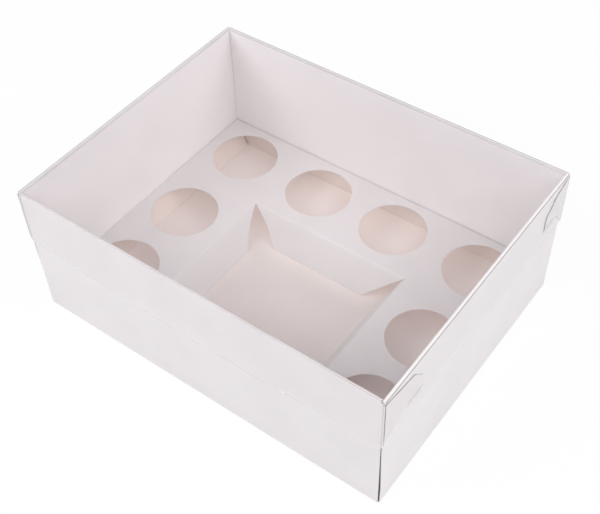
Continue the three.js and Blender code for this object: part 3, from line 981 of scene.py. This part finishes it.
    def flap(
        self,
        sheet: SheetMesh,
        path: FoldPath,
        turn: float,
        drop: float,
        half: float,
        taper: float,
        along: Axis,
        bulges: tuple[float, float],
    ) -> None:
        """Folds down a flap of the opening, with side edges that curve in towards its foot.

        Args:
            sheet: The insert's sheet, with the fold's edge picked.
            path: Where the fold starts.
            turn: The fold's angle, in radians.
            drop: From mid height of the plate to mid height of the foot.
            half: Half the flap's length at its fold.
            taper: How much shorter each end is at the foot.
            along: The axis that the fold lies along.
            bulges: How far each side edge curves in, the lower end's first.
        """
        sheet.fold(path, math.degrees(turn))
        fallen = self.bend * (1 - math.cos(turn))
        run = (drop - fallen) / math.sin(turn)
        centre = path.at.dot(along.value)
        low, high = centre - half, centre + half
        for step in range(self.flap_rows):
            sheet.forward(path, run / self.flap_rows)
            share = (step + 1) / self.flap_rows
            wanted_low = centre - half + taper * (share + bulges[0] * share * (1 - share))
            wanted_high = centre + half - taper * (share + bulges[1] * share * (1 - share))
            sheet.stretch(along, (wanted_high - wanted_low) / (high - low), (low + high) / 2)
            sheet.shift(along.value * (wanted_low + wanted_high - low - high) / 2)
            low, high = wanted_low, wanted_high

    def legs(
        self, sheet: SheetMesh, half_x: float, half_y: float, level: float, drop: float
    ) -> None:
        """Folds the legs back under the plate's edges.

        Args:
            sheet: The insert's sheet.
            half_x: Where the short edges' folds start.
            half_y: Where the long edges' folds start.
            level: Mid height of the plate.
            drop: From mid height of the plate to mid height of the feet.
        """
        cases = (
            (Axis.X, Axis.Y, half_x, self.side_leg, self.half_width),
            (Axis.Y, Axis.X, half_y, self.end_leg, self.half_length),
        )
        for out, along, edge, (run, inset), reach in cases:
            turn = math.pi - math.atan2(drop, run)
            half = min(reach - inset, reach - self.card / 2 - self.bend - self.edge_relief)
            for way in (-1, 1):
                sheet.pick_rim(
                    lambda p: abs(p.dot(out.value) - way * edge) < NEAR
                    and abs(p.dot(along.value)) < half + NEAR
                    and p.z > level - NEAR
                )
                start = out.value * way * edge + Axis.Z.value * level
                path = FoldPath(start, out.value * way, -Axis.Z.value)
                sheet.fold(path, math.degrees(turn))
                fallen = self.bend * (1 - math.cos(turn))
                sheet.forward(path, (drop - fallen) / math.sin(turn))
                sheet.stretch(along, (half - self.leg_taper) / half, 0)


@dataclass
class Lid:
    """The clear lid, folded from one sheet and locked by tabs at its corners.

    Attributes:
        play: Space between its layers of film.
        edge_relief: From the end of a fold to the sheet's corner.
        tab_top: From the lid's top to a tab's upper edge.
        tab_bottom: From the lid's top to a tab's lower edge.
        tab_root: Run of a tab beside its fold, before its edges slope.
        tab_slope: How far from the nose a tab's gentle slope ends, and how far it falls by then.
        tab_shoulder: The same for the steeper curve that follows.
        tab_nose: How far the rounded nose falls after that.
        tab_noses: Distances from the nose where the tab's edges have vertices.
        tongue_ease: The share of its two bends' radii that a tongue's slant leaves out.
        tongue_least: Shortest straight run between the two bends.
        reaches: From the lid's face to the noses of the front and the back tabs.
        skirt_bows: How far the front and the back skirt stand off.
        skirt_curve: How fast they do so towards their free edge.
    """

    half_length: float = 164.75
    half_width: float = 126.75
    top: float = 127.15
    film: float = 0.35
    air: float = 0.3
    play: float = 0.1
    bend: float = 0.475
    skirt: float = 51.0
    edge_relief: float = 0.4
    tab_top: float = 2.6
    tab_bottom: float = 49.0
    tab_root: float = 1.5
    tab_slope: tuple[float, float] = (13.0, 5.9)
    tab_shoulder: tuple[float, float] = (5.0, 9.3)
    tab_nose: float = 6.5
    tab_noses: tuple[float, ...] = (15.0, 13.0, 10.5, 8.0, 6.0, 4.2, 2.6, 0.5)
    tab_rows: int = 6
    slit_depth: float = 33.5
    slit_length: float = 18.5
    slit_opening: float = 1.8
    tongue_drop: float = 1.5
    tongue_length: float = 6.0
    tongue_play: float = 1.2
    tongue_ease: float = 0.2
    tongue_least: float = 0.05
    reaches: tuple[float, float] = (47.5, 32.5)
    skirt_bows: tuple[float, float] = (-4.0, 2.5)
    skirt_curve: float = 1.4
    columns: tuple[float, ...] = (-140, -110, -82, -55, -27, 0, 27, 55, 82, 110, 140)
    rows: tuple[float, ...] = (-60, -40, -20, 0, 20, 40, 60)

    def __post_init__(self) -> None:
        """Works out where the middle of the film is."""
        self.long_line = self.half_width - self.film / 2
        self.short_line = self.half_length - self.film / 2
        self.level = self.top - self.film / 2
        self.tab_line = self.half_length + self.play + self.film / 2
        self.behind_line = self.half_length - self.film - self.play - self.film / 2
        self.foot = self.top - self.skirt

    def slit_ends(self, side: int) -> tuple[float, float]:
        """Where a slit's ends are in y, nose end first."""
        reach = self.reaches[side > 0]
        nose = side * (self.half_width - reach - self.air)
        return nose, nose + side * self.slit_length

    def build(self, finishes: Sequence[bpy.types.Material]) -> bpy.types.Object:
        """Models the lid.

        Args:
            finishes: The film's outside, inside and cut edge, for each zone in turn.

        Returns:
            The finished piece.
        """
        sheet = SheetMesh("clear_folded_lid", self.bend, finishes, bend_steps=5)
        half = (self.short_line - self.bend, self.long_line - self.bend)
        sheet.start((-half[0], -half[1]), half, self.level)
        ends = [place for side in (-1, 1) for place in self.slit_ends(side)]
        corner = (half[0] - self.edge_relief, half[1] - self.edge_relief)
        sheet.cut(Axis.X, (*self.columns, -corner[0], corner[0]))
        sheet.cut(Axis.Y, (*self.rows, *ends, -corner[1], corner[1]))
        for side in (-1, 1):
            self.long_skirt(sheet, side, half)
        for end in (-1, 1):
            self.short_skirt(sheet, end, half)
        for side in (-1, 1):
            for end in (-1, 1):
                self.corner_tab(sheet, side, end, corner[0])
        under = self.level - self.bend - NEAR
        sheet.finish(Zone.FOLD, self.on_end_fold)
        sheet.finish(Zone.CORNER, lambda p: self.on_end_fold(p) and p.z < under)
        sheet.close(lambda p: p.z > self.level - NEAR, 1)
        self.relax(sheet)
        return sheet.thicken(self.film)

    def on_end_fold(self, place: Vector) -> bool:
        """Tells the folds at the lid's ends, which short skirts and corner tabs have.

        Args:
            place: The place, in millimetres.

        Returns:
            Whether the place is on one of them.
        """
        x, y, z = abs(place.x), abs(place.y), place.z
        flat = (
            abs(z - self.level) < NEAR
            or abs(y - self.long_line) < NEAR
            or min(abs(x - self.short_line), abs(x - self.tab_line)) < NEAR
        )
        return x > self.behind_line + NEAR and not flat

    def long_skirt(self, sheet: SheetMesh, side: int, half: tuple[float, float]) -> None:
        """Folds down a long skirt.

        Args:
            sheet: The lid's sheet.
            side: -1 for the front, 1 for the back.
            half: Half the lid's flat top.
        """
        edge = side * half[1]
        corner = half[0] - self.edge_relief
        sheet.pick_rim(lambda p: abs(p.y - edge) < NEAR and abs(p.x) < corner + NEAR)
        path = FoldPath(Vector((0, edge, self.level)), Axis.Y.value * side, -Axis.Z.value)
        sheet.fold(path, 90)
        sheet.forward(path, path.at.z - (self.top - self.tab_top))
        sheet.forward(path, self.tab_bottom - self.tab_top, rows=8)
        sheet.forward(path, path.at.z - self.foot)

    def short_skirt(self, sheet: SheetMesh, end: int, half: tuple[float, float]) -> None:
        """Folds down a short skirt and cuts its two slits.

        Args:
            sheet: The lid's sheet.
            end: -1 for the left end, 1 for the right one.
            half: Half the lid's flat top.
        """
        edge = end * half[0]
        corner, top = half[1] - self.edge_relief, self.level - NEAR
        sheet.pick_rim(
            lambda p: abs(p.x - edge) < NEAR and abs(p.y) < corner + NEAR and p.z > top
        )
        path = FoldPath(Vector((edge, 0, self.level)), Axis.X.value * end, -Axis.Z.value)
        middle = self.top - self.slit_depth - self.tongue_drop / 2
        high, low = middle + self.slit_opening / 2, middle - self.slit_opening / 2
        sheet.fold(path, 90)
        sheet.forward(path, path.at.z - high, rows=4)
        sheet.forward(path, high - low)
        sheet.forward(path, path.at.z - self.foot, rows=3)
        face = end * self.short_line
        for side in (-1, 1):
            first, last = sorted(self.slit_ends(side))
            sheet.drop_faces(
                lambda p: abs(p.x - face) < NEAR and low < p.z < high and first < p.y < last
            )

    def corner_tab(self, sheet: SheetMesh, side: int, end: int, edge: float) -> None:
        """Folds a long skirt's corner tab over the short skirt and tucks its tongue in.

        Args:
            sheet: The lid's sheet.
            side: -1 for the front, 1 for the back.
            end: -1 for the left end, 1 for the right one.
            edge: Where the long skirt's free edges are in x.
        """
        wall = side * self.long_line
        high, low = self.top - self.tab_top, self.top - self.tab_bottom
        sheet.pick_rim(
            lambda p: abs(p.x - end * edge) < NEAR
            and abs(p.y - wall) < NEAR
            and low - NEAR < p.z < high + NEAR
        )
        path = FoldPath(Vector((end * edge, wall, 0)), Axis.X.value * end, Axis.Y.value * -side)
        sheet.forward(path, self.tab_line - self.bend - edge)
        sheet.fold(path, 90)
        reach = self.reaches[side > 0]
        start = self.half_width - abs(path.at.y)
        root, slit = start + self.tab_root, reach - self.slit_length
        cuts = (slit, slit + self.tongue_play, reach - self.tongue_play)
        rows = {root + row * (slit - root) / self.tab_rows for row in range(self.tab_rows)}
        stations = sorted(rows | {*cuts, reach} | {reach - k for k in self.tab_noses})
        at = start
        for station in stations:
            sheet.forward(path, station - at)
            wanted_high, wanted_low = self.tab_edges(station, reach, root)
            tall, middle = high - low, (high + low) / 2
            sheet.stretch(Axis.Z, (wanted_high - wanted_low) / tall, middle)
            sheet.shift(Vector((0, 0, (wanted_high + wanted_low) / 2 - middle)))
            high, low, at = wanted_high, wanted_low, station
        self.tongue(sheet, side, end, cuts[1], cuts[2])

    def tab_edges(self, station: float, reach: float, root: float) -> tuple[float, float]:
        """A tab's upper and lower edge at a distance from the corner.

        Args:
            station: The distance from the lid's face.
            reach: The distance of the tab's nose.
            root: The distance where the edges start to slope.

        Returns:
            The heights of the two edges.
        """
        rise_end, shoulder = reach - self.tab_slope[0], reach - self.tab_shoulder[0]
        after_rise = self.tab_top + self.tab_slope[1]
        if station <= rise_end:
            depth = self.tab_top + self.tab_slope[1] * max(station - root, 0) / (rise_end - root)
        elif station <= shoulder:
            share = (station - rise_end) / (shoulder - rise_end)
            depth = after_rise + self.tab_shoulder[1] * share**1.25
        else:
            share = (station - shoulder) / (reach - shoulder)
            fall = self.tab_nose * (1 - math.sqrt(max(1 - share * share, 0)))
            depth = after_rise + self.tab_shoulder[1] + fall
        slit_start = reach - self.slit_length
        slope = (self.tab_bottom - self.slit_depth) / (slit_start - root)
        lower = self.slit_depth + max(slit_start - max(station, root), 0) * slope
        return self.top - depth, self.top - lower

    def tongue(self, sheet: SheetMesh, side: int, end: int, near: float, far: float) -> None:
        """Runs a tab's tongue through the slit and down behind the short skirt.

        Args:
            sheet: The lid's sheet.
            side: -1 for the front, 1 for the back.
            end: -1 for the left end, 1 for the right one.
            near: The tongue's end nearer the corner, from the lid's face.
            far: Its other end.
        """
        level = self.top - self.slit_depth
        face = end * self.tab_line
        sheet.pick_rim(
            lambda p: abs(p.x - face) < NEAR
            and abs(p.z - level) < NEAR
            and near - NEAR < self.half_width - side * p.y < far + NEAR
        )
        path = FoldPath(Vector((face, 0, level)), -Axis.Z.value, Axis.X.value * -end)
        across = self.tab_line - self.behind_line
        offset = across - 2 * self.bend * self.tongue_ease
        slant = math.degrees(math.atan2(offset, self.tongue_drop))
        turn = math.radians(slant)
        sheet.fold(path, slant)
        straight = (across - 2 * self.bend * (1 - math.cos(turn))) / math.sin(turn)
        sheet.forward(path, max(straight, self.tongue_least))
        sheet.fold(path, -slant)
        sheet.forward(path, self.tongue_length)

    def relax(self, sheet: SheetMesh) -> None:
        """Lets the long skirts stand off the tray in their middles.

        Args:
            sheet: The lid's sheet, out of edit mode.
        """
        span = self.short_line - 1
        for side, amount in zip((-1, 1), self.skirt_bows):
            wall = side * self.long_line
            sheet.bow(
                Axis.Y,
                amount,
                lambda p: (abs(p.y - wall) < NEAR)
                * hump(p.x, -span, span)
                * min((self.level - p.z) / self.skirt, 1.0) ** self.skirt_curve,
            )


@dataclass
class Studio:
    """The floor, the light and the camera.

    Attributes:
        focal: Focal length, in millimetres, on a sensor 36 mm wide.
        sky: Strength of the world's light on the box.
        mirrored: How white the studio is in reflections.
        floor_paint: The floor's own colour to a ray that shows it.
        floor_bounce: Its colour to a ray that lights the box.
        floor_white: The share of plain white in what shows of it.
        lamps: Each lamp's name, place, power in watts and diameter in metres.
    """

    focal: float = 63.207
    shift: tuple[float, float] = (-0.00075, -0.0025)
    eye: tuple[float, float, float] = (0.35268, -0.44999, 0.67548)
    look: tuple[float, float, float] = (-0.41169, 0.53140, -0.74035)
    up: tuple[float, float, float] = (-0.42388, 0.60751, 0.67176)
    sky: float = 0.48
    sky_colour: tuple[float, float, float, float] = (0.99, 0.985, 1.0, 1)
    mirrored: float = 0.82
    floor_paint: float = 0.94
    floor_bounce: float = 0.70
    floor_white: float = 0.91
    lamps: tuple[tuple[str, tuple[float, float, float], float, float], ...] = (
        ("far_key", (1.6, -1.45, 2.5), 31.0, 2.6),
        ("left_fill", (-0.85, -0.95, 1.1), 10.0, 1.0),
        ("right_fill", (1.6, 0.5, 1.35), 13.5, 1.5),
    )

    def build(self) -> None:
        """Sets up everything that isn't the box."""
        self.floor()
        self.world()
        self.hang_lamps()
        self.camera()
        bpy.context.scene.view_settings.view_transform = "Standard"

    def seen(self, nodes: Nodes) -> tuple[bpy.types.NodeSocket, bpy.types.NodeSocket]:
        """Tells rays that show a surface from rays that light one.

        Args:
            nodes: The tree of the floor or the world.

        Returns:
            1 for a ray that shows it, and how white it is to that ray, less in a reflection.
        """
        path = nodes.add("LightPath").outputs
        mirror = path["Is Glossy Ray"]
        direct = nodes.add(
            "Math", path["Is Camera Ray"], path["Is Transmission Ray"], operation="MAXIMUM"
        )
        shown = nodes.add("Math", direct.outputs[0], mirror, operation="MAXIMUM")
        return shown.outputs[0], nodes.spread(mirror, 1.0, self.mirrored)

    def floor(self) -> None:
        """Adds a pale floor that looks white and keeps the box's shadow."""
        bpy.ops.object.select_all(action="DESELECT")
        bpy.ops.mesh.primitive_plane_add(size=8, location=(0, 0, -0.0003))
        floor = bpy.context.active_object
        floor.name = "studio_floor"
        material, nodes = new_material("studio_floor")
        shown, white = self.seen(nodes)
        paint = nodes.add("BsdfDiffuse", nodes.spread(shown, self.floor_bounce, self.floor_paint))
        glow = nodes.add("Emission", __Strength=white)
        share = nodes.add("Math", shown, self.floor_white, operation="MULTIPLY")
        mix = nodes.add("MixShader", share.outputs[0], paint.outputs[0], glow.outputs[0])
        nodes.add("OutputMaterial", __Surface=mix.outputs[0])
        floor.data.materials.append(material)

    def world(self) -> None:
        """Makes the world white to look at, and softer as a light."""
        world = bpy.data.worlds.new("studio_world")
        bpy.context.scene.world = world
        world.use_nodes = True
        nodes = Nodes(world.node_tree)
        shown, white = self.seen(nodes)
        light = nodes.add("Background", self.sky_colour, self.sky)
        backdrop = nodes.add("Background", (1, 1, 1, 1), white)
        mix = nodes.add("MixShader", shown, light.outputs[0], backdrop.outputs[0])
        nodes.add("OutputWorld", __Surface=mix.outputs[0])

    def hang_lamps(self) -> None:
        """Hangs large soft lamps that face the box."""
        for name, place, watts, size in self.lamps:
            bpy.ops.object.light_add(type="AREA", location=place)
            lamp = bpy.context.active_object
            lamp.name = name
            lamp.data.shape = "DISK"
            lamp.data.size = size
            lamp.data.energy = watts
            lamp.rotation_euler = Vector(place).to_track_quat("Z", "Y").to_euler()

    def camera(self) -> None:
        """Sets the camera where the photograph was taken from."""
        data = bpy.data.cameras.new("photo_view")
        data.sensor_width = 36.0
        data.lens = self.focal
        data.shift_x, data.shift_y = self.shift
        data.clip_end = 20.0
        camera = bpy.data.objects.new("photo_view", data)
        bpy.context.scene.collection.objects.link(camera)
        back = -Vector(self.look).normalized()
        right = Vector(self.up).cross(back).normalized()
        up = back.cross(right)
        turn = Matrix((right, up, back)).transposed().to_4x4()
        camera.matrix_world = Matrix.Translation(Vector(self.eye)) @ turn
        bpy.context.scene.camera = camera


def main() -> None:
    """Builds and dresses the box, piece by piece, and sets the studio."""
    logging.basicConfig(level=logging.INFO, format="%(name)s: %(message)s")
    grain = paper_grain()
    face, insert_face = WHITE_FACE.make(grain), INSERT_FACE.make(grain)
    insert_reverse, insert_crease_highlight = INSERT_REVERSE.make(grain), INSERT_CREASE_HIGHLIGHT.make(grain)
    reverse, edge = CARD_REVERSE.make(grain), CARD_EDGE.make(grain)
    rim, corner_shade = CARD_RIM_SHADE.make(grain), CARD_GAP_SHADE.make(grain)
    film, film_edge, crease = CLEAR_FILM.make(), FILM_EDGE.make(), FILM_CREASE.make()
    score = FILM_SCORE.make()

    # The tray's corner zone takes the slits' painted shade in all three slots.
    # The tray's fold zone takes rim, the rim's painted shade, on its face.
    tray = Tray().build((face, reverse, edge, rim, reverse, edge, corner_shade, corner_shade, corner_shade))
    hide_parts("base_tray")
    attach(tray, "tray")
    LOG.info("tray: %d faces", len(tray.data.polygons))

    insert = Insert().build((insert_face, insert_reverse, edge, insert_crease_highlight, insert_reverse, edge))
    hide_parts("cupcake_insert")
    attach(insert, "tray")
    LOG.info("insert: %d faces", len(insert.data.polygons))

    creases = (crease, crease, film_edge, score, score, film_edge)
    lid = Lid().build((film, film, film_edge, *creases))
    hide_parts("clear_lid")
    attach(lid, "lid")
    LOG.info("lid: %d faces", len(lid.data.polygons))

    Studio().build()
    LOG.info("studio is set")


if __name__ == "__main__":
    main()
